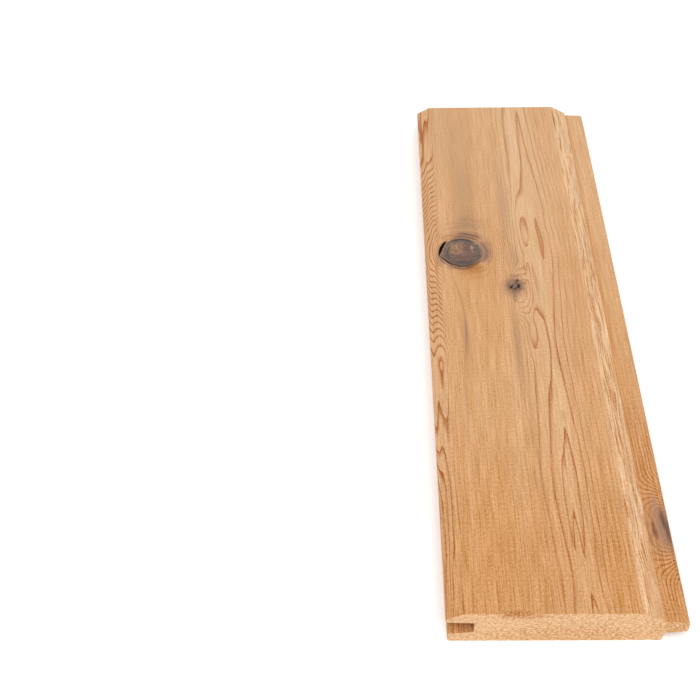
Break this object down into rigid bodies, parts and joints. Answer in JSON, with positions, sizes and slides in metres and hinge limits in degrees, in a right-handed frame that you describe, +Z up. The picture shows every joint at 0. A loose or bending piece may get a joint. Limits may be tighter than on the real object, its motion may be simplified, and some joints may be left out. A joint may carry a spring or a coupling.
{
  "type": "tongue and groove board",
  "caption": "Short length of knotty cedar panelling with bevelled face edges, a tapered tongue along one edge and the matching groove along the other.",
  "frame": {"origin": "under the middle of the board, on its back", "axes": "+X across the board towards the tongue, +Y along the grain, +Z up out of the face"},
  "size_m": [0.0888, 0.3174, 0.0175],
  "materials": {
    "cedar": "bare wood, planed smooth, with square saw-cut ends"
  },
  "bodies": {
    "root": {"cedar_board": "cedar"}
  },
  "joints": []
}
